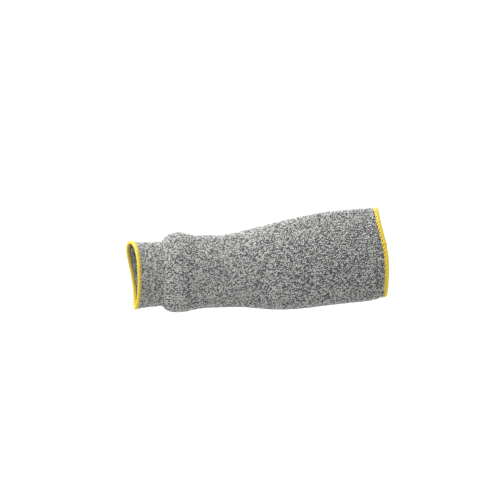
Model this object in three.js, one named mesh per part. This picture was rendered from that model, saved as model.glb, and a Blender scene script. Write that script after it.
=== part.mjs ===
// A cut resistant sleeve: a seamless knitted tube that covers the arm from the wrist to the elbow, kept in the
// form that it has when it is worn. Millimetres, +X from the wrist to the elbow, +Y to the back, +Z up. The
// origin is on the arm's axis, in the wrist opening.
import * as THREE from 'three';
import { LoftGeometry } from 'three/addons/geometries/LoftGeometry.js';

// Lengths along the arm
const SLEEVE_LENGTH = 254;
const CUFF_LENGTH = 36;
const CUFF_LAP = 3;

// Heights of the fabric's outer face, one for each part of the arm
const CUFF_HEIGHT = 64.2;
const CUFF_MOUTH_HEIGHT = 67.4;
const PUFF_HEIGHT = 80;
const NARROW_HEIGHT = 72.8;
const FOREARM_HEIGHT = 93.4;
const ELBOW_HEIGHT = 88.4;

// The fabric, its edge bands and the clearance that separate pieces keep
const KNIT_WALL = 1.4;
const RIB_PITCH = 5;
const RIB_HEIGHT = 0.4;
const RIBBED_LENGTH = 27;
const WRIST_BAND = 2.8;
const ELBOW_BAND = 3.6;
const BAND_WALL = 0.8;
const CLEARANCE = 0.3;

// How far the edges and the puff's shoulder leave a plane square to the arm
const WRIST_SKEW = 3.4;
const ELBOW_SKEW = 0.8;
const SHOULDER_LEAN = 2.7;

// Facets round the arm, and the longest step between two rings of the body
const SIDES = 36;
const LONGEST_STEP = 11;

const bodyStart = CUFF_LENGTH - CUFF_LAP;
const bodyLength = SLEEVE_LENGTH - bodyStart;
const lipHeight = CUFF_HEIGHT + 2 * (CLEARANCE + KNIT_WALL);

// Where the puff is highest, as a share of the body's length
const puffCrest = 0.078;

// Sections of the cuff's outer face. along is a share of the cuff's length, depth the section's depth as a share
// of its height, lift and sway the centre's place above and behind the arm's axis as shares of FOREARM_HEIGHT.
const cuffSections = [
  { along: 0.00, height: CUFF_MOUTH_HEIGHT, depth: 0.76, lift: 0.013, sway: 0.000 },
  { along: 0.15, height: CUFF_MOUTH_HEIGHT * 0.979, depth: 0.735, lift: 0.006, sway: 0.000 },
  { along: 0.33, height: CUFF_HEIGHT * 1.005, depth: 0.71, lift: 0.003, sway: 0.000 },
  { along: 0.62, height: CUFF_HEIGHT, depth: 0.70, lift: 0.001, sway: 0.000 },
  { along: 1.00, height: CUFF_HEIGHT, depth: 0.70, lift: -0.003, sway: 0.000 },
];

// Sections of the body's outer face, with along as a share of the body's length from its lip over the cuff.
const bodySections = [
  { along: 0.000, height: lipHeight, depth: 0.72, lift: 0.001, sway: 0.000 },
  { along: 0.014, height: PUFF_HEIGHT * 0.906, depth: 0.73, lift: -0.007, sway: 0.000 },
  { along: 0.032, height: PUFF_HEIGHT * 0.960, depth: 0.74, lift: -0.006, sway: 0.000 },
  { along: 0.051, height: PUFF_HEIGHT * 0.984, depth: 0.75, lift: -0.005, sway: 0.001 },
  { along: puffCrest, height: PUFF_HEIGHT, depth: 0.76, lift: -0.003, sway: 0.001 },
  { along: 0.104, height: PUFF_HEIGHT * 0.986, depth: 0.76, lift: -0.004, sway: 0.001 },
  { along: 0.134, height: NARROW_HEIGHT * 1.038, depth: 0.77, lift: -0.012, sway: 0.000 },
  { along: 0.160, height: NARROW_HEIGHT * 1.011, depth: 0.78, lift: -0.018, sway: 0.000 },
  { along: 0.215, height: NARROW_HEIGHT, depth: 0.79, lift: -0.026, sway: -0.002 },
  { along: 0.281, height: NARROW_HEIGHT * 0.999, depth: 0.81, lift: -0.037, sway: -0.006 },
  { along: 0.351, height: FOREARM_HEIGHT * 0.805, depth: 0.83, lift: -0.039, sway: -0.012 },
  { along: 0.412, height: FOREARM_HEIGHT * 0.852, depth: 0.84, lift: -0.041, sway: -0.018 },
  { along: 0.493, height: FOREARM_HEIGHT * 0.914, depth: 0.86, lift: -0.042, sway: -0.024 },
  { along: 0.595, height: FOREARM_HEIGHT * 0.967, depth: 0.88, lift: -0.032, sway: -0.026 },
  { along: 0.716, height: FOREARM_HEIGHT * 0.996, depth: 0.89, lift: -0.013, sway: -0.022 },
  { along: 0.828, height: FOREARM_HEIGHT, depth: 0.90, lift: -0.007, sway: -0.014 },
  { along: 0.919, height: FOREARM_HEIGHT * 0.998, depth: 0.90, lift: -0.007, sway: -0.006 },
  { along: 0.965, height: ELBOW_HEIGHT * 1.034, depth: 0.91, lift: -0.001, sway: -0.002 },
  { along: 1.000, height: ELBOW_HEIGHT, depth: 0.91, lift: 0.004, sway: 0.000 },
];

// Shallow dents and swells of the body. turn is the angle round the arm in degrees, 0 at the front and 90 on
// top, deep the dent's depth as a share of FOREARM_HEIGHT, long its reach as a share of the body's length and
// wide its reach round the arm in degrees.
const dents = [
  { along: 0.030, turn: -16, deep: 0.010, long: 0.030, wide: 24 },
  { along: 0.125, turn: -28, deep: 0.014, long: 0.040, wide: 22 },
  { along: 0.110, turn: 38, deep: 0.009, long: 0.036, wide: 26 },
  { along: 0.225, turn: -20, deep: 0.013, long: 0.050, wide: 24 },
  { along: 0.345, turn: 52, deep: 0.010, long: 0.036, wide: 36 },
  { along: 0.100, turn: 150, deep: 0.012, long: 0.036, wide: 26 },
  { along: 0.140, turn: 215, deep: 0.011, long: 0.040, wide: 24 },
  { along: 0.420, turn: 190, deep: 0.008, long: 0.080, wide: 40 },
  { along: 0.560, turn: 8, deep: -0.006, long: 0.140, wide: 40 },
  { along: 0.880, turn: -40, deep: 0.007, long: 0.060, wide: 34 },
];

// The edges leave a plane square to the arm as sums of waves. waves is how many go round the arm, high their
// height as a share of WRIST_SKEW or ELBOW_SKEW, and crest the angle of one crest in degrees.
const wristWaves = [
  { waves: 0, high: 1.40, crest: 0 },
  { waves: 1, high: 0.78, crest: 10 },
  { waves: 2, high: 0.56, crest: 23 },
  { waves: 3, high: 0.16, crest: 71 },
];
const elbowWaves = [
  { waves: 1, high: 1.00, crest: -87 },
  { waves: 2, high: 0.40, crest: -45 },
  { waves: 3, high: 0.45, crest: -16 },
  { waves: 4, high: 0.70, crest: 0 },
];

// A smooth curve through one column of a table of sections, as a function of the share along it.
function column(sections, name) {
  const places = Float32Array.from(sections, (row) => row.along);
  const values = Float32Array.from(sections, (row) => row[name]);
  const curve = new THREE.CubicInterpolant(places, values, 1);
  return (share) => curve.evaluate(share)[0];
}

// The height of a table of waves at an angle round the arm, as a share.
function waveHeight(table, angle) {
  const wave = ({ waves, high, crest }) => high * Math.cos(waves * (angle - THREE.MathUtils.degToRad(crest)));
  return table.reduce((sum, row) => sum + wave(row), 0);
}

// How far the ring at s leaves its own plane, towards the elbow, at an angle round the arm.
function slant(s, angle) {
  const atWrist = 1 - THREE.MathUtils.smoothstep(s, 0, bodyStart + 0.075 * bodyLength);
  const atElbow = THREE.MathUtils.smoothstep(s, SLEEVE_LENGTH - 0.2 * bodyLength, SLEEVE_LENGTH);
  const atShoulder = s < bodyStart ? s / bodyStart : 1 - (s - bodyStart) / (puffCrest * bodyLength);
  const wrist = WRIST_SKEW * waveHeight(wristWaves, angle);
  const elbow = ELBOW_SKEW * waveHeight(elbowWaves, angle);
  const shoulder = SHOULDER_LEAN * Math.sin(angle);
  return wrist * atWrist + elbow * atElbow + shoulder * THREE.MathUtils.clamp(atShoulder, 0, 1);
}

// How deep the body is dented at a share of its length and an angle round the arm.
function dentDepth(share, angle) {
  let depth = 0;
  for (const dent of dents) {
    const turn = THREE.MathUtils.euclideanModulo(THREE.MathUtils.radToDeg(angle) - dent.turn + 180, 360) - 180;
    const reach = ((share - dent.along) / dent.long) ** 2 + (turn / dent.wide) ** 2;
    depth += dent.deep * FOREARM_HEIGHT * Math.exp(-reach);
  }
  return depth;
}

// The outer face of one piece of fabric: a function that gives the point at s millimetres along the arm and an
// angle round it, 0 at the front and a quarter turn on top.
function outerFace(sections, start, length, depthOfDents) {
  const height = column(sections, 'height');
  const depth = column(sections, 'depth');
  const lift = column(sections, 'lift');
  const sway = column(sections, 'sway');
  return (s, angle) => {
    const share = (s - start) / length;
    const high = height(share) / 2;
    const dent = depthOfDents(share, angle);
    return new THREE.Vector3(
      s + slant(s, angle),
      sway(share) * FOREARM_HEIGHT - (high * depth(share) - dent) * Math.cos(angle),
      lift(share) * FOREARM_HEIGHT + (high - dent) * Math.sin(angle),
    );
  };
}

// The point that stands out millimetres off a face, square to it.
function standOff(face, s, angle, out) {
  const step = 0.01;
  const point = face(s, angle);
  const forward = face(s + step, angle).sub(face(s - step, angle));
  const around = face(s, angle + step).sub(face(s, angle - step));
  return point.addScaledVector(forward.cross(around).normalize(), out);
}

// A piece that goes right round the arm. Its profile is a closed list of [s, out], walked from the wrist to the
// elbow on the inside and back on the outside, and each of its points becomes one ring of the loft.
function sweptRound(face, profile) {
  const angles = Array.from({ length: SIDES }, (_, i) => (i / SIDES) * 2 * Math.PI);
  const rings = profile.map(([s, out]) => angles.map((angle) => standOff(face, s, angle, out)));
  return new LoftGeometry([...rings, rings[0]], { closed: true });
}

// The profile of a wall of fabric whose outer face follows a list of [s, out].
function wallProfile(outside) {
  const inside = outside.map(([s, out]) => [s, out - KNIT_WALL]);
  return [...inside, ...outside.reverse()];
}

// The stations along the body: each section of the table, with the long steps between them split evenly.
function bodyStations() {
  const places = bodySections.map((row) => bodyStart + row.along * bodyLength);
  const stations = [places[0]];
  places.slice(1).forEach((end, i) => {
    const parts = Math.ceil((end - places[i]) / LONGEST_STEP);
    for (let k = 1; k <= parts; k++) stations.push(places[i] + ((end - places[i]) * k) / parts);
  });
  return stations;
}

// The cuff's outer face in profile: flat under the band, ridged round the wrist, and flat up to its hidden end.
function cuffOutside() {
  const first = WRIST_BAND + 2 * CLEARANCE;
  const ribs = Math.max(1, Math.round((RIBBED_LENGTH - first) / RIB_PITCH));
  const outside = [[0, 0], [first, 0]];
  for (let i = 0; i < ribs; i++) {
    outside.push([first + ((i + 0.5) / ribs) * (RIBBED_LENGTH - first), RIB_HEIGHT]);
    outside.push([first + ((i + 1) / ribs) * (RIBBED_LENGTH - first), 0]);
  }
  outside.push([CUFF_LENGTH, 0]);
  return outside;
}

// The profile of an overlocked band: a channel folded over the fabric's edge, rounded where the threads bulge.
// inward is 1 where the fabric lies towards the elbow and -1 where it lies towards the wrist.
function bandProfile(edge, inward, width) {
  const crown = CLEARANCE + BAND_WALL;
  const half = [
    [width, CLEARANCE],
    [width * 0.92, CLEARANCE + BAND_WALL * 0.6],
    [width * 0.55, crown],
    [0, crown],
    [-crown * 0.75, CLEARANCE * 0.5],
  ];
  const groove = [-CLEARANCE, CLEARANCE];
  const mirror = ([along, out]) => [along, -KNIT_WALL - out];
  const loop = [...half, ...half.map(mirror).reverse(), mirror(groove), groove];
  const profile = loop.map(([along, out]) => [edge + inward * along, out]);
  return inward > 0 ? profile : profile.reverse();
}

const marlKnit = new THREE.MeshStandardMaterial({ color: 0x8f908d, roughness: 0.95, metalness: 0 });
const elasticKnit = new THREE.MeshStandardMaterial({ color: 0x8b8c89, roughness: 0.95, metalness: 0 });
const yellowThread = new THREE.MeshStandardMaterial({ color: 0xe2c23e, roughness: 0.7, metalness: 0 });

const cuffFace = outerFace(cuffSections, 0, CUFF_LENGTH, () => 0);
const bodyFace = outerFace(bodySections, bodyStart, bodyLength, dentDepth);

function forearmTube() {
  return sweptRound(bodyFace, wallProfile(bodyStations().map((s) => [s, 0])));
}

function wristCuff() {
  return sweptRound(cuffFace, wallProfile(cuffOutside()));
}

function wristOverlock() {
  return sweptRound(cuffFace, bandProfile(0, 1, WRIST_BAND));
}

function elbowOverlock() {
  return sweptRound(bodyFace, bandProfile(SLEEVE_LENGTH, -1, ELBOW_BAND));
}

const sleeve = new THREE.Group();
const pieces = [
  { name: 'forearm_tube', geometry: forearmTube(), material: marlKnit },
  { name: 'wrist_cuff', geometry: wristCuff(), material: elasticKnit },
  { name: 'wrist_overlock', geometry: wristOverlock(), material: yellowThread },
  { name: 'elbow_overlock', geometry: elbowOverlock(), material: yellowThread },
];
for (const { name, geometry, material } of pieces) {
  const mesh = new THREE.Mesh(geometry, material);
  mesh.name = name;
  sleeve.add(mesh);
}

export default sleeve;
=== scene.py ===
# %% [markdown]
# # A cut resistant sleeve
#
# A work sleeve is a seamless tube knitted from one thick marled yarn, a light ply and a dark ply twisted
# together. A narrow elastic cuff holds it at the wrist, and both raw edges are overlocked with yellow thread.
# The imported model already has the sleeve's form, as plain walls. Here each wall is replaced by what the eye
# sees on the real one: rows of knitted loops made of real geometry, and edge bands made of wrapped thread.

import math

import bpy
import numpy as np
from mathutils import Matrix, Vector


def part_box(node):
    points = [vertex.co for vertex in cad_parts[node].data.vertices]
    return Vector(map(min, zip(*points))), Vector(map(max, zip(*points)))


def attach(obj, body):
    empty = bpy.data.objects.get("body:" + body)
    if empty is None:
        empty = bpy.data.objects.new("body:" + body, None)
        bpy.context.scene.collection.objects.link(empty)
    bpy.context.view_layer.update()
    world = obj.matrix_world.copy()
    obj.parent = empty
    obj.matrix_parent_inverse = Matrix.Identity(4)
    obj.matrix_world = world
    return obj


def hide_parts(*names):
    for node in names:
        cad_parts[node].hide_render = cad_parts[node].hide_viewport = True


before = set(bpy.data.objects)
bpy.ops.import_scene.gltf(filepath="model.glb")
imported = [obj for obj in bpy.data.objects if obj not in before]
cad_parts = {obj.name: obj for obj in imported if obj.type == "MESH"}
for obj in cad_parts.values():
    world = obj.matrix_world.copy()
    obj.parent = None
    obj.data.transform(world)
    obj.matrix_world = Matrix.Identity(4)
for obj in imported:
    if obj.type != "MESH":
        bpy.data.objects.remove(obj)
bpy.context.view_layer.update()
rng = np.random.default_rng(72)
print("nodes to dress:", sorted(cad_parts))

# %% [markdown]
# ## The form of the fabric
#
# Everything on a sleeve follows its fabric, so the fabric is written once, as a function of two parameters:
# how far along the arm a point lies, and how far round it. The sections below are those that the solids were
# made from, in millimetres. A modeller could also shrinkwrap each thread to the solids, but a formula is
# exact, fast, and gives the direction that faces out at every point.

# %% Sizes and sections of the sleeve
MM = 0.001
SLEEVE_LENGTH = 254.0
CUFF_LENGTH = 36.0
BODY_START = 33.0
BODY_LENGTH = SLEEVE_LENGTH - BODY_START
WALL = 1.4
CUFF_HEIGHT = 64.2
MOUTH_HEIGHT = 67.4
LIP_HEIGHT = 67.6
PUFF_HEIGHT = 80.0
NARROW_HEIGHT = 72.8
FOREARM_HEIGHT = 93.4
ELBOW_HEIGHT = 88.4
LIP_EASE = 1.5

# How far the edges and the puff's shoulder leave a plane square to the arm, and, as shares of the body's
# length, how far into the body each edge's slant reaches and where the puff is highest
WRIST_SKEW = 3.4
ELBOW_SKEW = 0.8
SHOULDER_LEAN = 2.7
WRIST_REACH = 0.075
ELBOW_REACH = 0.2
PUFF_CREST = 0.078

# depth is the section's depth as a share of its height. lift and sway are its centre's place above and behind
# the arm's axis, as shares of FOREARM_HEIGHT.
SECTION_COLUMNS = ("along", "height", "depth", "lift", "sway")
CUFF_SECTIONS = [
    (0.00, MOUTH_HEIGHT, 0.76, 0.013, 0.000),
    (0.15, MOUTH_HEIGHT * 0.979, 0.735, 0.006, 0.000),
    (0.33, CUFF_HEIGHT * 1.005, 0.71, 0.003, 0.000),
    (0.62, CUFF_HEIGHT, 0.70, 0.001, 0.000),
    (1.00, CUFF_HEIGHT, 0.70, -0.003, 0.000),
]
BODY_SECTIONS = [
    (0.000, LIP_HEIGHT, 0.72, 0.001, 0.000),
    (0.014, PUFF_HEIGHT * 0.906, 0.73, -0.007, 0.000),
    (0.032, PUFF_HEIGHT * 0.960, 0.74, -0.006, 0.000),
    (0.051, PUFF_HEIGHT * 0.984, 0.75, -0.005, 0.001),
    (PUFF_CREST, PUFF_HEIGHT, 0.76, -0.003, 0.001),
    (0.104, PUFF_HEIGHT * 0.986, 0.76, -0.004, 0.001),
    (0.134, NARROW_HEIGHT * 1.038, 0.77, -0.012, 0.000),
    (0.160, NARROW_HEIGHT * 1.011, 0.78, -0.018, 0.000),
    (0.215, NARROW_HEIGHT, 0.79, -0.026, -0.002),
    (0.281, NARROW_HEIGHT * 0.999, 0.81, -0.037, -0.006),
    (0.351, FOREARM_HEIGHT * 0.805, 0.83, -0.039, -0.012),
    (0.412, FOREARM_HEIGHT * 0.852, 0.84, -0.041, -0.018),
    (0.493, FOREARM_HEIGHT * 0.914, 0.86, -0.042, -0.024),
    (0.595, FOREARM_HEIGHT * 0.967, 0.88, -0.032, -0.026),
    (0.716, FOREARM_HEIGHT * 0.996, 0.89, -0.013, -0.022),
    (0.828, FOREARM_HEIGHT, 0.90, -0.007, -0.014),
    (0.919, FOREARM_HEIGHT * 0.998, 0.90, -0.007, -0.006),
    (0.965, ELBOW_HEIGHT * 1.034, 0.91, -0.001, -0.002),
    (1.000, ELBOW_HEIGHT, 0.91, 0.004, 0.000),
]

# Columns: along the body as a share, turn round the arm in degrees, deep as a share of FOREARM_HEIGHT, long,
# the reach as a share of the body, and wide, the reach in degrees
DENTS = [
    (0.030, -16, 0.010, 0.030, 24),
    (0.125, -28, 0.014, 0.040, 22),
    (0.110, 38, 0.009, 0.036, 26),
    (0.225, -20, 0.013, 0.050, 24),
    (0.345, 52, 0.010, 0.036, 36),
    (0.100, 150, 0.012, 0.036, 26),
    (0.140, 215, 0.011, 0.040, 24),
    (0.420, 190, 0.008, 0.080, 40),
    (0.560, 8, -0.006, 0.140, 40),
    (0.880, -40, 0.007, 0.060, 34),
]

# Columns: how many waves go round, how high as a share of the edge's skew, and one crest's angle in degrees
WRIST_WAVES = [(0, 1.40, 0), (1, 0.78, 10), (2, 0.56, 23), (3, 0.16, 71)]
ELBOW_WAVES = [(1, 1.00, -87), (2, 0.40, -45), (3, 0.45, -16), (4, 0.70, 0)]


# %% [markdown]
# A smooth curve runs through each column of the tables. A cubic with its slope taken from the neighbouring
# rows passes through every row and never wanders far between them.

# %% The fabric as a function
def smoothstep(value, low, high):
    """0 below low, 1 above high, and the cubic 3t^2 - 2t^3 between them."""
    t = np.clip((value - low) / (high - low), 0, 1)
    return t * t * (3 - 2 * t)


def column(table, name):
    """A function of the share along a table: cubic Hermite pieces through one of its columns."""
    k = SECTION_COLUMNS.index(name)
    x = np.array([row[0] for row in table])
    y = np.array([row[k] for row in table])
    slope = np.gradient(y, x)

    def at(share):
        share = np.clip(share, 0, 1)
        i = np.clip(np.searchsorted(x, share) - 1, 0, len(x) - 2)
        step = x[i + 1] - x[i]
        t = (share - x[i]) / step
        rise = t * t * (3 - 2 * t)
        return (
            y[i] * (1 - rise) + y[i + 1] * rise
            + step * (slope[i] * t * (1 - t) ** 2 - slope[i + 1] * t * t * (1 - t))
        )

    return at


CUFF_CURVES = {name: column(CUFF_SECTIONS, name) for name in SECTION_COLUMNS[1:]}
BODY_CURVES = {name: column(BODY_SECTIONS, name) for name in SECTION_COLUMNS[1:]}


def section(s, name):
    """One value of the section at s millimetres along the arm, eased from the cuff's table to the body's."""
    over = smoothstep(s, BODY_START - LIP_EASE, BODY_START + LIP_EASE)
    cuff = CUFF_CURVES[name](s / CUFF_LENGTH)
    body = BODY_CURVES[name]((s - BODY_START) / BODY_LENGTH)
    return cuff * (1 - over) + body * over


def wave_height(table, angle):
    """The sum of a table's waves round the arm, each with one crest at its own angle, as a share."""
    return sum(high * np.cos(waves * (angle - math.radians(crest))) for waves, high, crest in table)


def slant(s, angle):
    """How far a ring leaves its own plane, towards the elbow: the edges are skewed and scalloped."""
    at_wrist = 1 - smoothstep(s, 0, BODY_START + WRIST_REACH * BODY_LENGTH)
    at_elbow = smoothstep(s, SLEEVE_LENGTH - ELBOW_REACH * BODY_LENGTH, SLEEVE_LENGTH)
    past_lip = 1 - (s - BODY_START) / (PUFF_CREST * BODY_LENGTH)
    at_shoulder = np.clip(np.where(s < BODY_START, s / BODY_START, past_lip), 0, 1)
    wrist = WRIST_SKEW * wave_height(WRIST_WAVES, angle) * at_wrist
    elbow = ELBOW_SKEW * wave_height(ELBOW_WAVES, angle) * at_elbow
    return wrist + elbow + SHOULDER_LEAN * np.sin(angle) * at_shoulder


def dent_depth(s, angle):
    """The sum of the dents: each is its depth times e to the minus squared distance, in its own reaches."""
    share = (s - BODY_START) / BODY_LENGTH
    depth = np.zeros(np.broadcast(s, angle).shape)
    for along, turn, deep, long, wide in DENTS:
        away = (np.degrees(angle) - turn + 180) % 360 - 180
        depth += deep * FOREARM_HEIGHT * np.exp(-(((share - along) / long) ** 2) - (away / wide) ** 2)
    return depth * smoothstep(s, BODY_START - LIP_EASE, BODY_START + LIP_EASE)


def fabric(s, angle):
    """The outer face: an ellipse at s, lifted, swayed, dented and slanted. Angle 0 is the front."""
    high = section(s, "height") / 2
    deep = high * section(s, "depth")
    dent = dent_depth(s, angle)
    x = s + slant(s, angle)
    y = section(s, "sway") * FOREARM_HEIGHT - (deep - dent) * np.cos(angle)
    z = section(s, "lift") * FOREARM_HEIGHT + (high - dent) * np.sin(angle)
    return np.stack(np.broadcast_arrays(x, y, z), axis=-1)


def unit(v):
    """Each vector divided by its own length."""
    return v / np.linalg.norm(v, axis=-1, keepdims=True)


def off_fabric(s, angle, out):
    """The point that stands out millimetres off the fabric's face, and the direction that faces out there."""
    step = 0.02
    along = fabric(s + step, angle) - fabric(s - step, angle)
    around = fabric(s, angle + step) - fabric(s, angle - step)
    facing = unit(np.cross(along, around))
    return fabric(s, angle) + np.asarray(out)[..., None] * facing, facing


def angle_of(s, turn):
    """The angle that lies a share of the girth round the arm. An ellipse's arc length is close to the angle
    plus half its flatness times the sine of twice the angle, solved here by repeating it."""
    flat = (1 - section(s, "depth")) / (1 + section(s, "depth"))
    angle = 2 * np.pi * turn
    for _ in range(3):
        angle = 2 * np.pi * turn - flat / 2 * np.sin(2 * angle)
    return angle


def girth(s):
    """The length round an ellipse, by Ramanujan's first formula."""
    a = section(s, "height") / 2
    b = a * section(s, "depth")
    return np.pi * (3 * (a + b) - np.sqrt((3 * a + b) * (a + 3 * b)))


MEASURED_AT = np.array([20, 50, 88, 215.0])
print("girth at wrist, puff, narrowest and forearm (mm):", np.round(girth(MEASURED_AT), 0))
low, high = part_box("forearm_tube")
print("forearm_tube is", np.round((high - low) * 1000, 1), "mm")


# %% [markdown]
# ## Helpers that put numbers into meshes and nodes
#
# A thread is a closed grid: rings of points along its path, joined into quads. Writing whole arrays into the
# mesh with foreach_set takes a moment, where adding faces one at a time would take minutes.

# %% Meshes from grids
def add_object(name, points, quads, material, maps=None, smooth=True):
    """A mesh object from points in millimetres and four-cornered faces. maps holds a UV for each corner."""
    mesh = bpy.data.meshes.new(name)
    quads = np.asarray(quads, np.int32).reshape(-1, 4)
    points = np.asarray(points, float).reshape(-1, 3) * MM
    mesh.vertices.add(len(points))
    mesh.vertices.foreach_set("co", points.astype(np.float32).ravel())
    mesh.loops.add(quads.size)
    mesh.loops.foreach_set("vertex_index", quads.ravel())
    mesh.polygons.add(len(quads))
    mesh.polygons.foreach_set("loop_start", np.arange(0, quads.size, 4, dtype=np.int32))
    mesh.polygons.foreach_set("use_smooth", np.full(len(quads), smooth))
    for label, uv in (maps or {}).items():
        layer = mesh.uv_layers.new(name=label)
        layer.uv.foreach_set("vector", np.asarray(uv, np.float32).ravel())
    mesh.update(calc_edges=True)
    mesh.validate()
    mesh.materials.append(material)
    made = bpy.data.objects.new(name, mesh)
    bpy.context.scene.collection.objects.link(made)
    return made


def grid_corners(first, second):
    """The four corners of every cell of a grid that closes on itself, as (cells, 4, 2) indices. They run one
    past the last row and column, so that a map can end there where the mesh joins up."""
    i, j = np.meshgrid(np.arange(first), np.arange(second), indexing="ij")
    corners = [(i, j), (i + 1, j), (i + 1, j + 1), (i, j + 1)]
    return np.stack([np.stack(corner, -1) for corner in corners], axis=-2).reshape(-1, 4, 2)


# %% Threads that close on themselves
# Each row's twist starts this far from the last one's, in mm of yarn, so that no two rows look alike
ROW_STEP = 1013.0
# What a flat strip of the bake's map leaves free at its ends and its sides
STRIP_END = 0.002
STRIP_SIDE = 0.06


def closed_threads(name, path, hint, wide, thick, sides, material, strips, first_length=0.0):
    """A mesh of closed threads. path holds a row of points for each thread. Round every point lies an
    ellipse, square to the thread: its half width lies across the thread and the hint, its half thickness
    towards the hint. Two maps go with it: yarn gives the length along the thread in mm and the share round
    it, and the other lays each thread out in a few flat strips, one above the other."""
    rows, count = path.shape[:2]
    ahead = unit(np.roll(path, -1, axis=1) - np.roll(path, 1, axis=1))
    beside = unit(np.cross(ahead, hint))
    above = np.cross(beside, ahead)
    around = np.arange(sides) * 2 * np.pi / sides
    wide = np.broadcast_to(wide, (rows, count))[..., None]
    thick = np.broadcast_to(thick, (rows, count))[..., None]
    points = (
        path[:, :, None]
        + (wide * np.cos(around))[..., None] * beside[:, :, None]
        + (thick * np.sin(around))[..., None] * above[:, :, None]
    )
    steps = np.linalg.norm(np.roll(path, -1, axis=1) - path, axis=-1)
    length = np.concatenate([np.zeros((rows, 1)), np.cumsum(steps, axis=1)], axis=1)
    cells = grid_corners(count, sides)
    k, m = cells[..., 0], cells[..., 1]
    row = np.arange(rows)[:, None, None]
    quads = (row * count + k % count) * sides + m % sides
    start = first_length + row * ROW_STEP
    yarn_map = np.stack(np.broadcast_arrays(start + length[row, k], m / sides), axis=-1)
    per_strip = -(-count // strips)
    strip = cells[:, :1, 0] // per_strip
    along = (k - strip * per_strip) / per_strip
    along = STRIP_END + (1 - 2 * STRIP_END) * along
    up_strip = row * strips + strip + STRIP_SIDE + (1 - 2 * STRIP_SIDE) * m / sides
    flat_map = np.stack(np.broadcast_arrays(along, up_strip / (rows * strips)), axis=-1)
    piece = add_object(name, points, quads, material, {"yarn": yarn_map, "OFBake": flat_map})
    print(name, "has", quads.size // 2, "triangles and", round(length[:, -1].sum() / 1000, 1), "m of thread")
    return piece


# %% [markdown]
# ## Camera, floor and light
#
# The photo looks at the sleeve from the side, a little from the wrist's end, with a long lens. The sleeve
# rises to the right, which is taken as the camera's roll, so the model itself lies straight along X.

# %% Camera
VIEW_AZIMUTH = math.radians(-5.5)
VIEW_HEIGHT = math.radians(2.0)
VIEW_ROLL = math.radians(5.26)
VIEW_DISTANCE = 2.6
VIEW_WIDTH = 0.500
# Where the middle of the sleeve's axis stands off the middle of the picture, to the right and down
MIDDLE_RIGHT = 0.0053
MIDDLE_DOWN = 0.0145
SENSOR = 36.0

back = Vector((
    math.sin(VIEW_AZIMUTH) * math.cos(VIEW_HEIGHT),
    -math.cos(VIEW_AZIMUTH) * math.cos(VIEW_HEIGHT),
    math.sin(VIEW_HEIGHT),
))
level_right = Vector((math.cos(VIEW_AZIMUTH), math.sin(VIEW_AZIMUTH), 0.0))
level_up = back.cross(level_right)
right = math.cos(VIEW_ROLL) * level_right - math.sin(VIEW_ROLL) * level_up
up = math.sin(VIEW_ROLL) * level_right + math.cos(VIEW_ROLL) * level_up
middle = Vector((SLEEVE_LENGTH / 2 * MM, 0.0, 0.0))
aim = middle - right * MIDDLE_RIGHT + up * MIDDLE_DOWN

camera_data = bpy.data.cameras.new("camera")
camera_data.sensor_width = SENSOR
camera_data.lens = SENSOR * VIEW_DISTANCE / VIEW_WIDTH
camera_data.clip_end = 100
camera = bpy.data.objects.new("camera", camera_data)
turned = Matrix((right, up, back)).transposed().to_4x4()
camera.matrix_world = Matrix.Translation(aim + back * VIEW_DISTANCE) @ turned
bpy.context.scene.collection.objects.link(camera)
bpy.context.scene.camera = camera
print("lens", round(camera_data.lens), "mm at", VIEW_DISTANCE, "m")


# %% Colours and nodes
def srgb(text, alpha=1.0):
    """A colour from its sRGB hex digits, turned to the linear values that shaders add up."""
    parts = [int(text[i:i + 2], 16) / 255 for i in (0, 2, 4)]
    linear = [c / 12.92 if c <= 0.04045 else ((c + 0.055) / 1.055) ** 2.4 for c in parts]
    return (*linear, alpha)


def add_node(tree, kind, settings=None, links=None):
    """One shader node. settings gives its properties and sockets their values, and links joins its sockets to
    other nodes' outputs. A socket goes by its name, or by its number where names repeat."""
    node = tree.nodes.new(kind)
    for key, value in (settings or {}).items():
        if isinstance(key, int) or key in node.inputs:
            node.inputs[key].default_value = value
        else:
            setattr(node, key, value)
    for key, source in (links or {}).items():
        tree.links.new(node.inputs[key], source)
    return node


def new_material(name):
    """An empty node material and its tree."""
    material = bpy.data.materials.new(name)
    material.use_nodes = True
    material.node_tree.nodes.clear()
    return material, material.node_tree


def finish_surface(tree, shader):
    """Sends a shader to the material's output."""
    out = tree.nodes.new("ShaderNodeOutputMaterial")
    tree.links.new(out.inputs["Surface"], shader)


# %% [markdown]
# The photo's ground is pure white and its light comes softly from above. The world is plain white, and gives
# most of the light. A soft lamp behind lights the top of the sleeve, a weak one overhead helps it, and a
# wide one fills in from the wrist's side. The floor is far below, so that it takes no hard shadow and throws
# little of the lamps' light back up.

# %% Floor and lights
FLOOR_BELOW = 2.40
FLOOR_SIZE = 60.0
WORLD_LIGHT = 1.13


def floor_paint():
    """Matt white painted board: bright, with no gloss to mirror the sleeve."""
    material, tree = new_material("matt_white_board")
    grain = add_node(tree, "ShaderNodeTexNoise", {"Scale": 3.0, "Detail": 2.0})
    tint = add_node(tree, "ShaderNodeMix", {"data_type": "RGBA"}, {"Factor": grain.outputs["Fac"]})
    tint.inputs[6].default_value = srgb("FAFAFA")
    tint.inputs[7].default_value = srgb("FDFDFD")
    board = add_node(tree, "ShaderNodeBsdfPrincipled", {"Roughness": 0.9}, {"Base Color": tint.outputs[2]})
    finish_surface(tree, board.outputs[0])
    return material


half = FLOOR_SIZE * 1000 / 2
floor = add_object(
    "floor",
    [[-half, -half, -FLOOR_BELOW * 1000], [half, -half, -FLOOR_BELOW * 1000],
     [half, half, -FLOOR_BELOW * 1000], [-half, half, -FLOOR_BELOW * 1000]],
    [[0, 1, 2, 3]], floor_paint(), smooth=False,
)

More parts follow.
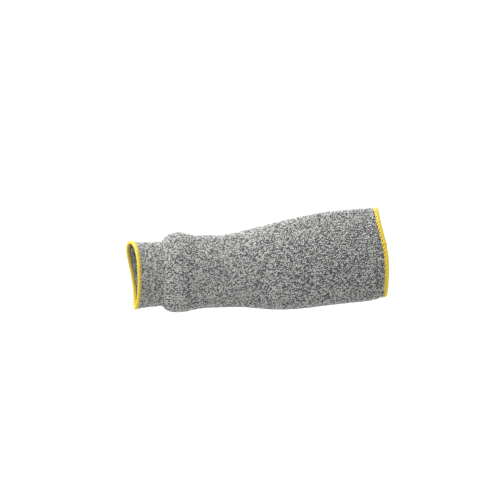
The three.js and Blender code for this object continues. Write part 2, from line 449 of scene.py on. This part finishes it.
world = bpy.data.worlds.new("white_room")
world.use_nodes = True
world.node_tree.nodes["Background"].inputs["Color"].default_value = (1, 1, 1, 1)
world.node_tree.nodes["Background"].inputs["Strength"].default_value = WORLD_LIGHT
bpy.context.scene.world = world
bpy.context.scene.view_settings.view_transform = "Standard"
bpy.context.scene.view_settings.look = "None"


def add_lamp(name, place, size, watts):
    """A square soft lamp that faces the middle of the sleeve."""
    data = bpy.data.lights.new(name, "AREA")
    data.shape = "SQUARE"
    data.size = size
    data.energy = watts
    lamp = bpy.data.objects.new(name, data)
    lamp.location = place
    lamp.rotation_euler = (middle - Vector(place)).to_track_quat("-Z", "Y").to_euler()
    bpy.context.scene.collection.objects.link(lamp)
    print(name, "lamp of", watts, "W,", round((middle - Vector(place)).length, 2), "m away")


add_lamp("overhead", (-0.45, -0.10, 1.25), 0.6, 6)
add_lamp("behind", (-0.40, 0.50, 1.25), 0.7, 33)
add_lamp("fill", (-0.95, -0.75, 0.90), 1.2, 18)


# %% [markdown]
# ## The marled yarn
#
# The yarn has two plies, one light and one dark grey, twisted once in some seven millimetres. On each side of
# the yarn the light ply and the dark ply take turns, with slanted borders, which is what makes the knit look
# like salt and pepper. The colour is a stripe that winds round the yarn: the yarn's own map gives the length
# along it and the share round it, and noise along the length makes the twist uneven, as it is in spun yarn.

# %% Marled yarn
PLY_TWIST = 7.0
TWIST_UNEVEN = 5.0
FIBRES_ROUND = 3.0
FIBRE_TWIST = 0.9
LIGHT_PLY = "AEAFAB"
DARK_PLY = "424345"
BODY_BORDER = 0.10
CUFF_BORDER = -0.05
BORDER_BLUR = 0.45


def marled_yarn(name, border):
    """Twisted two-ply yarn of high-strength polyethylene and dark nylon: matt, a little fuzzy, no gloss. The
    border, from -1 to 1, says where the colour turns: the lower it is, the more of the light ply shows."""
    material, tree = new_material(name)
    where = add_node(tree, "ShaderNodeUVMap", {"uv_map": "yarn"})
    split = add_node(tree, "ShaderNodeSeparateXYZ", None, {"Vector": where.outputs["UV"]})
    length, round_it = split.outputs["X"], split.outputs["Y"]
    # Uneven twist: the phase wanders by a turn or so over a few centimetres, and faster by a fifth of a turn
    slow = add_node(
        tree, "ShaderNodeTexNoise", {"noise_dimensions": "1D", "Scale": 0.11, "Detail": 3.0}, {"W": length})
    turns = add_node(tree, "ShaderNodeMath", {"operation": "DIVIDE", 1: PLY_TWIST}, {0: length})
    wander = add_node(
        tree, "ShaderNodeMath", {"operation": "MULTIPLY_ADD", 1: TWIST_UNEVEN},
        {0: slow.outputs["Fac"], 2: turns.outputs[0]})
    phase = add_node(tree, "ShaderNodeMath", {"operation": "SUBTRACT"}, {0: wander.outputs[0], 1: round_it})
    angle = add_node(
        tree, "ShaderNodeMath", {"operation": "MULTIPLY", 1: 2 * math.pi}, {0: phase.outputs[0]})
    stripe = add_node(tree, "ShaderNodeMath", {"operation": "SINE"}, {0: angle.outputs[0]})
    ply = add_node(
        tree, "ShaderNodeMapRange",
        {"interpolation_type": "SMOOTHSTEP",
         "From Min": border - BORDER_BLUR, "From Max": border + BORDER_BLUR},
        {"Value": stripe.outputs[0]})
    colour = add_node(tree, "ShaderNodeMix", {"data_type": "RGBA"}, {"Factor": ply.outputs[0]})
    colour.inputs[6].default_value = srgb(DARK_PLY)
    colour.inputs[7].default_value = srgb(LIGHT_PLY)
    # Fibres show as fine slanted lines, drawn a little coarser than they are so that they show at all
    fibre_length = add_node(tree, "ShaderNodeMath", {"operation": "DIVIDE", 1: FIBRE_TWIST}, {0: length})
    fibre_phase = add_node(
        tree, "ShaderNodeMath", {"operation": "MULTIPLY_ADD", 1: FIBRES_ROUND},
        {0: round_it, 2: fibre_length.outputs[0]})
    fibre_angle = add_node(
        tree, "ShaderNodeMath", {"operation": "MULTIPLY", 1: 2 * math.pi}, {0: fibre_phase.outputs[0]})
    fibre = add_node(tree, "ShaderNodeMath", {"operation": "SINE"}, {0: fibre_angle.outputs[0]})
    bump = add_node(
        tree, "ShaderNodeBump", {"Strength": 0.35, "Distance": 0.0002}, {"Height": fibre.outputs[0]})
    cloth = add_node(
        tree, "ShaderNodeBsdfPrincipled",
        {"Roughness": 0.9, "Specular IOR Level": 0.25, "Sheen Weight": 0.12, "Sheen Roughness": 0.5},
        {"Base Color": colour.outputs[2], "Normal": bump.outputs[0]})
    finish_surface(tree, cloth.outputs[0])
    return material


def yarn_ground():
    """The same yarn seen deep between the loops: dark, because little light reaches it."""
    material, tree = new_material("shaded_knit_ground")
    where = add_node(tree, "ShaderNodeTexCoord")
    flecks = add_node(
        tree, "ShaderNodeTexNoise", {"Scale": 520.0, "Detail": 2.0}, {"Vector": where.outputs["Object"]})
    colour = add_node(tree, "ShaderNodeMix", {"data_type": "RGBA"}, {"Factor": flecks.outputs["Fac"]})
    colour.inputs[6].default_value = srgb("1E1F21")
    colour.inputs[7].default_value = srgb("6A6B69")
    cloth = add_node(
        tree, "ShaderNodeBsdfPrincipled",
        {"Roughness": 0.95, "Specular IOR Level": 0.2}, {"Base Color": colour.outputs[2]})
    finish_surface(tree, cloth.outputs[0])
    return material


BODY_YARN = marled_yarn("marled_cut_resistant_yarn", BODY_BORDER)
CUFF_YARN = marled_yarn("marled_elastic_cuff_yarn", CUFF_BORDER)
GROUND = yarn_ground()
print("knit materials:", BODY_YARN.name, CUFF_YARN.name, GROUND.name)

# %% [markdown]
# ## The knitted loops
#
# In a plain knit each course is one yarn that runs round the arm in loops, and each loop is pulled through
# the loop below it. Seen from outside, the two legs of a loop lie on top, like a V, and its head and foot
# turn in behind the neighbours. A bump map can draw those Vs, but not the shadows between them or the rough
# outline, so every loop here is geometry: one closed curve for each course, with the loops written as sine
# waves.

# %% Gauge of the knit
WALES = 76
COURSE = 2.0
FIRST_COURSE = 1.0
LOOP_REACH = 1.75
LOOP_BULGE = 0.21
LOOP_POINTS = 10
YARN_SIDES = 4
YARN_THICK = 0.50
YARN_WIDE_SHARE = 0.27
YARN_WIDE_LEAST = 0.50
YARN_WIDE_MOST = 0.78
FABRIC_MIDDLE = -0.85
EDGE_CLEAR = 0.3

# How uneven the loops are, as one standard deviation: round the arm in wales, along it and out in mm, and in
# their width as a share
UNEVEN_ROUND = 0.05
UNEVEN_ALONG = 0.14
UNEVEN_OUT = 0.07
UNEVEN_WIDE = 0.07

# The two slow sines by which the wales drift: how far in wales, the mm to one radian, and the radians at 0
DRIFTS = [(0.35, 23.0, 1.0), (0.25, 9.5, 0.0)]
# How far out the yarn lies along a loop, in mm: the mean, and what each of three cosines adds
LOOP_OUT = (0.05, 0.18, -0.40, -0.10)

courses = np.arange(FIRST_COURSE, SLEEVE_LENGTH - EDGE_CLEAR, COURSE)
triangles = len(courses) * WALES * LOOP_POINTS * YARN_SIDES * 2
print(len(courses), "courses of", WALES, "loops,", triangles, "triangles")


# %% Loops of a set of courses
def wobble(rows, amount):
    """A random value for each loop, eased from one loop to the next along the yarn."""
    value = rng.normal(0, amount, (rows, WALES, 1))
    t = np.arange(LOOP_POINTS) / LOOP_POINTS
    ease = t * t * (3 - 2 * t)
    return (value * (1 - ease) + np.roll(value, -1, axis=1) * ease).reshape(rows, -1)


def course_paths(places, ridge):
    """The yarn's path in each course. Along a loop t goes from 0 to 2 pi: it moves round the arm by t plus a
    sine of 2t, which gives the waist, along the arm by minus the cosine of t, and out by a sum of three
    cosines, which puts the legs outside and the head and foot inside. The wales drift a little round the arm,
    as two slow sines of the place. Returns the points, the way out at each, and how wide the yarn is."""
    rows = len(places)
    t = np.tile(np.arange(LOOP_POINTS) * 2 * np.pi / LOOP_POINTS, WALES)
    loop = np.repeat(np.arange(WALES), LOOP_POINTS)
    s0 = places[:, None]
    wale = girth(s0) / WALES
    round_it = loop + t / (2 * np.pi) + LOOP_BULGE * np.sin(2 * t)
    drift = sum(far * np.sin(s0 / radian + start) for far, radian, start in DRIFTS)
    turn = (round_it + drift + wobble(rows, UNEVEN_ROUND)) / WALES
    s = s0 - LOOP_REACH * np.cos(t) + wobble(rows, UNEVEN_ALONG)
    out = sum(part * np.cos(k * t) for k, part in enumerate(LOOP_OUT))
    out = out + FABRIC_MIDDLE + ridge[:, None] + wobble(rows, UNEVEN_OUT)
    s = np.clip(s, EDGE_CLEAR, SLEEVE_LENGTH - EDGE_CLEAR)
    path, facing = off_fabric(s, angle_of(s, turn), out)
    wide = np.clip(YARN_WIDE_SHARE * wale, YARN_WIDE_LEAST, YARN_WIDE_MOST)
    wide = wide * (1 + wobble(rows, UNEVEN_WIDE))
    return path, facing, wide


# %% [markdown]
# The cuff has elastic laid into some of its courses. It pulls them in, so a few soft ridges ring the wrist,
# from the band to a little before the puff. The body has none. Both have the same number of loops, only drawn
# closer together at the wrist, and the cuff's yarn shows a little more of its light ply.

# %% Cuff and body loops
WRIST_BAND = 2.8
RIBBED_LENGTH = 27.0
RIDGES = 5
RIDGE = 0.30
RIDGE_CLEAR = 0.6
BODY_BANDS = 4
# Each mesh of the body starts its yarn this far on, in mm, so that none repeats another's marl
BAND_STEP = 40000.0
in_cuff = courses < BODY_START - COURSE / 2
cuff_courses = courses[in_cuff]
ridge_start = WRIST_BAND + RIDGE_CLEAR
ridge_phase = (cuff_courses - ridge_start) / (RIBBED_LENGTH - ridge_start) * RIDGES
is_ridged = (ridge_phase > 0) & (ridge_phase < RIDGES)
cuff_ridge = np.where(is_ridged, 0.5 * RIDGE * (1 - 2 * np.cos(2 * np.pi * ridge_phase)), 0.0)


def loops(name, places, ridge, yarn, first_length):
    """The loops of some courses as one mesh. Four sides are enough, as smooth shading rounds the yarn."""
    path, facing, wide = course_paths(places, ridge)
    return closed_threads(name, path, facing, wide, YARN_THICK, YARN_SIDES, yarn, 2, first_length)


cuff_pieces = [loops("cuff_loops", cuff_courses, cuff_ridge, CUFF_YARN, 0.0)]
forearm_pieces = [
    loops(f"forearm_loops_{k + 1}", places, np.zeros(len(places)), BODY_YARN, BAND_STEP * (k + 1))
    for k, places in enumerate(np.array_split(courses[~in_cuff], BODY_BANDS))
]


# %% [markdown]
# ## The ground of the fabric
#
# Between the loops a real knit is closed by the yarn behind. One thin closed sheet in the middle of the wall
# does that here, so no light leaks through, and from inside the sleeve the heads of the loops stand on it.

# %% Ground of the cuff and the forearm
def ground(name, start, end, rows, sides, middle_out, thick):
    """A thin closed wall: even rings along its outer face and back along its inner face, joined up."""
    s = np.linspace(start, end, rows)
    s = np.concatenate([s, s[::-1]])
    out = np.concatenate([np.full(rows, middle_out + thick / 2), np.full(rows, middle_out - thick / 2)])
    turn = np.arange(sides) / sides
    path, _ = off_fabric(s[:, None], angle_of(s[:, None], turn[None, :]), out[:, None])
    cells = grid_corners(2 * rows, sides)
    i, j = cells[..., 0], cells[..., 1]
    quads = (i % (2 * rows)) * sides + j % sides
    bake_map = np.stack([i / (2 * rows), j / sides], axis=-1)
    return add_object(name, path, quads, GROUND, {"OFBake": bake_map})


GROUND_THICK = 0.3
GROUND_INSET = 1.0
GROUND_SIDES = 90
CUFF_ROWS = 20
BODY_ROWS = 100
GROUND_END = SLEEVE_LENGTH - GROUND_INSET
cuff_ground = ground(
    "cuff_ground", GROUND_INSET, BODY_START, CUFF_ROWS, GROUND_SIDES, FABRIC_MIDDLE, GROUND_THICK)
forearm_ground = ground(
    "forearm_ground", BODY_START, GROUND_END, BODY_ROWS, GROUND_SIDES, FABRIC_MIDDLE, GROUND_THICK)
print("grounds have", len(cuff_ground.data.polygons), "and", len(forearm_ground.data.polygons), "faces")

# %% [markdown]
# ## The overlocked edges
#
# An overlock machine trims the raw edge and wraps it in the same pass: loopers lay several strands of bulky
# yellow thread over the edge, and a needle line holds them down in the fabric. Seen close, the strands of one
# stitch come out of one needle hole, slant over the edge as a small fan, and go back in on the inside. The
# whole wrapping is one long helix round the edge, so it is written as one closed path, turn after turn.

# %% Yellow thread
# The yellow and its darker tone: the darker tone stands for uneven dye, and for painted shade in the ply
# grooves
THREAD_YELLOW = "E0C63A"
THREAD_SHADE = "BEA42B"
THREAD_TWIST = 1.3
THREAD_PLIES = 3.0
GROOVE_SHADE_SWING = 0.22


def overlock_thread():
    """Textured polyester thread, dyed yellow: bulky and soft, with a slight sheen on its fibres. Its colour
    has uneven dye along it, and painted shade in the grooves between its plies.
    """
    material, tree = new_material("yellow_textured_polyester_thread")
    where = add_node(tree, "ShaderNodeUVMap", {"uv_map": "yarn"})
    split = add_node(tree, "ShaderNodeSeparateXYZ", None, {"Vector": where.outputs["UV"]})
    length, round_it = split.outputs["X"], split.outputs["Y"]
    # Three plies wind round the thread, a twist every THREAD_TWIST millimetres
    twist = add_node(tree, "ShaderNodeMath", {"operation": "DIVIDE", 1: THREAD_TWIST}, {0: length})
    phase = add_node(
        tree, "ShaderNodeMath", {"operation": "MULTIPLY_ADD", 1: THREAD_PLIES},
        {0: round_it, 2: twist.outputs[0]})
    angle = add_node(
        tree, "ShaderNodeMath", {"operation": "MULTIPLY", 1: 2 * math.pi}, {0: phase.outputs[0]})
    ply = add_node(tree, "ShaderNodeMath", {"operation": "SINE"}, {0: angle.outputs[0]})
    uneven = add_node(
        tree, "ShaderNodeTexNoise", {"noise_dimensions": "1D", "Scale": 0.35, "Detail": 3.0}, {"W": length})
    # The colour: noise along the thread is uneven dye, and the plies' sine adds painted shade in the grooves
    share = add_node(
        tree, "ShaderNodeMath", {"operation": "MULTIPLY_ADD", 1: GROOVE_SHADE_SWING},
        {0: ply.outputs[0], 2: uneven.outputs["Fac"]})
    colour = add_node(tree, "ShaderNodeMix", {"data_type": "RGBA"}, {"Factor": share.outputs[0]})
    colour.inputs[6].default_value = srgb(THREAD_SHADE)
    colour.inputs[7].default_value = srgb(THREAD_YELLOW)
    bump = add_node(tree, "ShaderNodeBump", {"Strength": 0.4, "Distance": 0.0002}, {"Height": ply.outputs[0]})
    cloth = add_node(
        tree, "ShaderNodeBsdfPrincipled",
        {"Roughness": 0.62, "Specular IOR Level": 0.35, "Sheen Weight": 0.15, "Sheen Roughness": 0.4},
        {"Base Color": colour.outputs[2], "Normal": bump.outputs[0]})
    finish_surface(tree, cloth.outputs[0])
    return material


THREAD = overlock_thread()
print("thread material:", THREAD.name)

# %% The wrapping
ELBOW_BAND = 3.6
STITCH = 4.1
STRANDS = 5
WRAP_POINTS = 14
WRAP_STRIPS = 24
THREAD_SIDES = 5
WRAP_RADIUS = 0.41
WRAP_SLANT = 0.40
FAN_AT_NEEDLE = 0.40
FAN_AT_EDGE = 0.98
RIM = 0.30
STRAND_INSET = 0.35
CROWN = 0.66
OBLONG_POWER = 2.8
NEEDLE_FLATTER = 0.15
CARRY_FROM = 1.45 * math.pi

# How uneven the strands are, as one standard deviation: their place in stitches, how far they stand out and
# how wide they wrap in mm, and their radius as a share
STRAND_UNEVEN_PLACE = 0.03
STRAND_UNEVEN_OUT = 0.05
STRAND_UNEVEN_WIDE = 0.07
STRAND_UNEVEN_RADIUS = 0.06

# The lump where the seam ends on its own beginning: how far it reaches up and down the band, in stitches, and
# how far it adds to the strands outwards, to both sides and past the rim, in mm
KNOT_ABOVE = 0.75
KNOT_BELOW = 0.22
KNOT_OUT = 0.75
KNOT_WIDE = 0.7
KNOT_RIM = 0.4


def edge_point(edge, inward, turn, along, out):
    """The point along millimetres in from the edge and out millimetres off the face, at a share of the girth.
    Also the direction that faces out there."""
    s = edge + inward * along
    return off_fabric(s, angle_of(np.clip(s, 0, SLEEVE_LENGTH), turn), out)


def oblong(phase, width, crown):
    """A flat oblong round the edge, as a function of the phase, which is 0 at the needle line and half a turn
    at the rim: a superellipse, whose sides are flatter than an ellipse's. Gives the two distances, along and
    out, of which out is a little smaller at the needle line than at the rim."""
    cos, sin = np.cos(phase), np.sin(phase)
    square = (np.abs(cos) ** OBLONG_POWER + np.abs(sin) ** OBLONG_POWER) ** (1 / OBLONG_POWER)
    along = (width - RIM) / 2 + (width + RIM) / 2 * cos / square
    out = -WALL / 2 + (WALL / 2 + crown) * (1 - NEEDLE_FLATTER - NEEDLE_FLATTER * cos) * sin / square
    return along, out


def stitches_round(edge):
    """How many stitches go round an edge."""
    return round(float(girth(np.array(edge))) / STITCH)


def wrapping(name, edge, inward, width, knot=None):
    """One helix round the edge. In each turn the phase goes once round the oblong. The strands of a stitch
    start close together at the needle line and fan out towards the rim, and all of them slant. The last
    quarter, inside the fabric, carries each strand over to where the next one starts. Where the seam ends on
    its own beginning, at the knot, it is thicker: a bell curve, wide above the knot and narrow below it."""
    stitches = stitches_round(edge)
    turns = stitches * STRANDS
    phase = np.arange(WRAP_POINTS) * 2 * np.pi / WRAP_POINTS
    rimward = (1 - np.cos(phase)) / 2
    strand = np.arange(turns + 1)[:, None]
    fan = FAN_AT_NEEDLE + (FAN_AT_EDGE - FAN_AT_NEEDLE) * rimward
    in_stitch = (strand % STRANDS + 0.5) / STRANDS - 0.5
    place = strand // STRANDS + 0.5 + in_stitch * fan + WRAP_SLANT * rimward
    carry = smoothstep(phase, CARRY_FROM, 2 * np.pi)
    place = place[:-1] * (1 - carry) + place[1:] * carry
    uneven = rng.normal(0, 1, (turns, 3))
    place = place + STRAND_UNEVEN_PLACE * uneven[:, :1] * rimward
    turn = place / stitches
    swell = np.zeros_like(turn)
    if knot is not None:
        away = ((turn - knot + 0.5) % 1 - 0.5) * stitches
        swell = np.exp(-(away / np.where(away > 0, KNOT_ABOVE, KNOT_BELOW)) ** 2)
    crown = CROWN + STRAND_UNEVEN_OUT * uneven[:, 1:2] + KNOT_OUT * swell
    along, out = oblong(phase, width - STRAND_INSET, crown)
    spread = STRAND_UNEVEN_WIDE * uneven[:, 2:3] + KNOT_WIDE * swell
    along = along + spread * np.cos(phase) - KNOT_RIM * swell
    path, _ = edge_point(edge, inward, turn, along, out)
    round_mouth = np.roll(path, -1, axis=0) - path
    radius = np.repeat(WRAP_RADIUS * (1 + STRAND_UNEVEN_RADIUS * uneven[:, :1]), WRAP_POINTS, axis=1)
    return closed_threads(
        name, path.reshape(1, -1, 3), round_mouth.reshape(1, -1, 3),
        radius.reshape(1, -1), radius.reshape(1, -1), THREAD_SIDES, THREAD, WRAP_STRIPS)


# %% The needle lines, the rim's chain and the core
# Points in each stitch, then sizes in mm: the needle line lies NEEDLE_INSET inside the band's width, swings
# to its sides by NEEDLE_SWING, and stands off the face by NEEDLE_OUT and the bow of each stitch
NEEDLE_POINTS = 8
NEEDLE_RADIUS = 0.25
NEEDLE_INSET = 0.10
NEEDLE_SWING = 0.12
NEEDLE_OUT = 0.10
NEEDLE_BOW = 0.42
CHAIN_POINTS = 10
CHAIN_RADIUS = 0.34
CHAIN_PAST_RIM = 0.12
CHAIN_ALONG = 0.14
CHAIN_ACROSS = 0.30
LINE_STRIPS = 12
CORE_INSET = 1.05
CORE_SINK = 0.15
CORE_MAP_STEP = 2.2


def needle_line(name, edge, inward, width, side):
    """The line of small stitches that holds the wrapping down, outside where side is 1 and inside where it
    is -1. It stands off the fabric in the middle of each stitch and dips into it at each needle hole, as a
    cosine does, and swings a little to each side, as a sine does."""
    stitches = stitches_round(edge)
    t = np.arange(stitches * NEEDLE_POINTS) / NEEDLE_POINTS
    off = NEEDLE_OUT + NEEDLE_BOW * np.cos(2 * np.pi * t)
    out = off if side > 0 else -WALL - off
    along = width - NEEDLE_INSET + NEEDLE_SWING * np.sin(2 * np.pi * t)
    path, facing = edge_point(edge, inward, t / stitches, along, out)
    return closed_threads(
        name, path[None], facing[None], NEEDLE_RADIUS, NEEDLE_RADIUS, THREAD_SIDES, THREAD, LINE_STRIPS)


def rim_chain(name, edge, inward):
    """Where the threads of the two loopers lock along the rim: a thread that circles the rim line, two times
    in each stitch, as a cosine along the arm and a sine across the wall."""
    stitches = stitches_round(edge)
    t = np.arange(stitches * CHAIN_POINTS) / CHAIN_POINTS
    along = -RIM - CHAIN_PAST_RIM - CHAIN_ALONG * np.cos(4 * np.pi * t)
    out = -WALL / 2 + CHAIN_ACROSS * np.sin(4 * np.pi * t)
    path, facing = edge_point(edge, inward, t / stitches, along, out)
    return closed_threads(
        name, path[None], facing[None], CHAIN_RADIUS, CHAIN_RADIUS, THREAD_SIDES, THREAD, LINE_STRIPS)


def band_core(name, edge, inward, width):
    """What the strands lie on: a closed oblong ring round the edge, a little under them, so no gap shows."""
    around, places = 12, 120
    phase = np.arange(around)[:, None] * 2 * np.pi / around
    turn = np.arange(places)[None, :] / places
    along, out = oblong(phase, width - CORE_INSET, CROWN - CORE_SINK)
    path, _ = edge_point(edge, inward, turn, along, out)
    cells = grid_corners(around, places)
    i, j = cells[..., 0], cells[..., 1]
    quads = (i % around) * places + j % places
    if inward < 0:
        quads = quads[:, ::-1]
        i, j = i[:, ::-1], j[:, ::-1]
    yarn_map = np.stack([j * CORE_MAP_STEP, i / around], axis=-1)
    shares = np.stack([i / around, j / places], axis=-1)
    flat_map = STRIP_END + (1 - 2 * STRIP_END) * shares
    return add_object(name, path, quads, THREAD, {"yarn": yarn_map, "OFBake": flat_map})


def overlock(label, edge, inward, width, knot=None):
    """All the pieces of one band."""
    return [
        wrapping(f"{label}_wrapping", edge, inward, width, knot),
        needle_line(f"{label}_needle_line_outside", edge, inward, width, 1),
        needle_line(f"{label}_needle_line_inside", edge, inward, width, -1),
        rim_chain(f"{label}_rim_chain", edge, inward),
        band_core(f"{label}_band_core", edge, inward, width),
    ]


# %% Both edges wrapped
KNOT_TURN = 0.032
wrist_pieces = overlock("wrist", 0.0, 1, WRIST_BAND)
elbow_pieces = overlock("elbow", SLEEVE_LENGTH, -1, ELBOW_BAND, KNOT_TURN)

# %% [markdown]
# ## What each piece stands for
#
# Every piece rides on the one body and replaces a solid. The two grounds are the cloth: a sleeve is knitted
# much narrower than an arm and stretched over it.

# %% Bodies and nodes, and the slot names printed with them
dressed = {
    "wrist_cuff": ("elastic_knit", [cuff_ground, *cuff_pieces]),
    "forearm_tube": ("marl_knit", [forearm_ground, *forearm_pieces]),
    "wrist_overlock": ("yellow_thread", wrist_pieces),
    "elbow_overlock": ("yellow_thread", elbow_pieces),
}
for node, (slot, pieces) in dressed.items():
    for piece in pieces:
        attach(piece, "root")
        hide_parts(node)
    print(node, "is dressed with", len(pieces), "pieces in", slot)
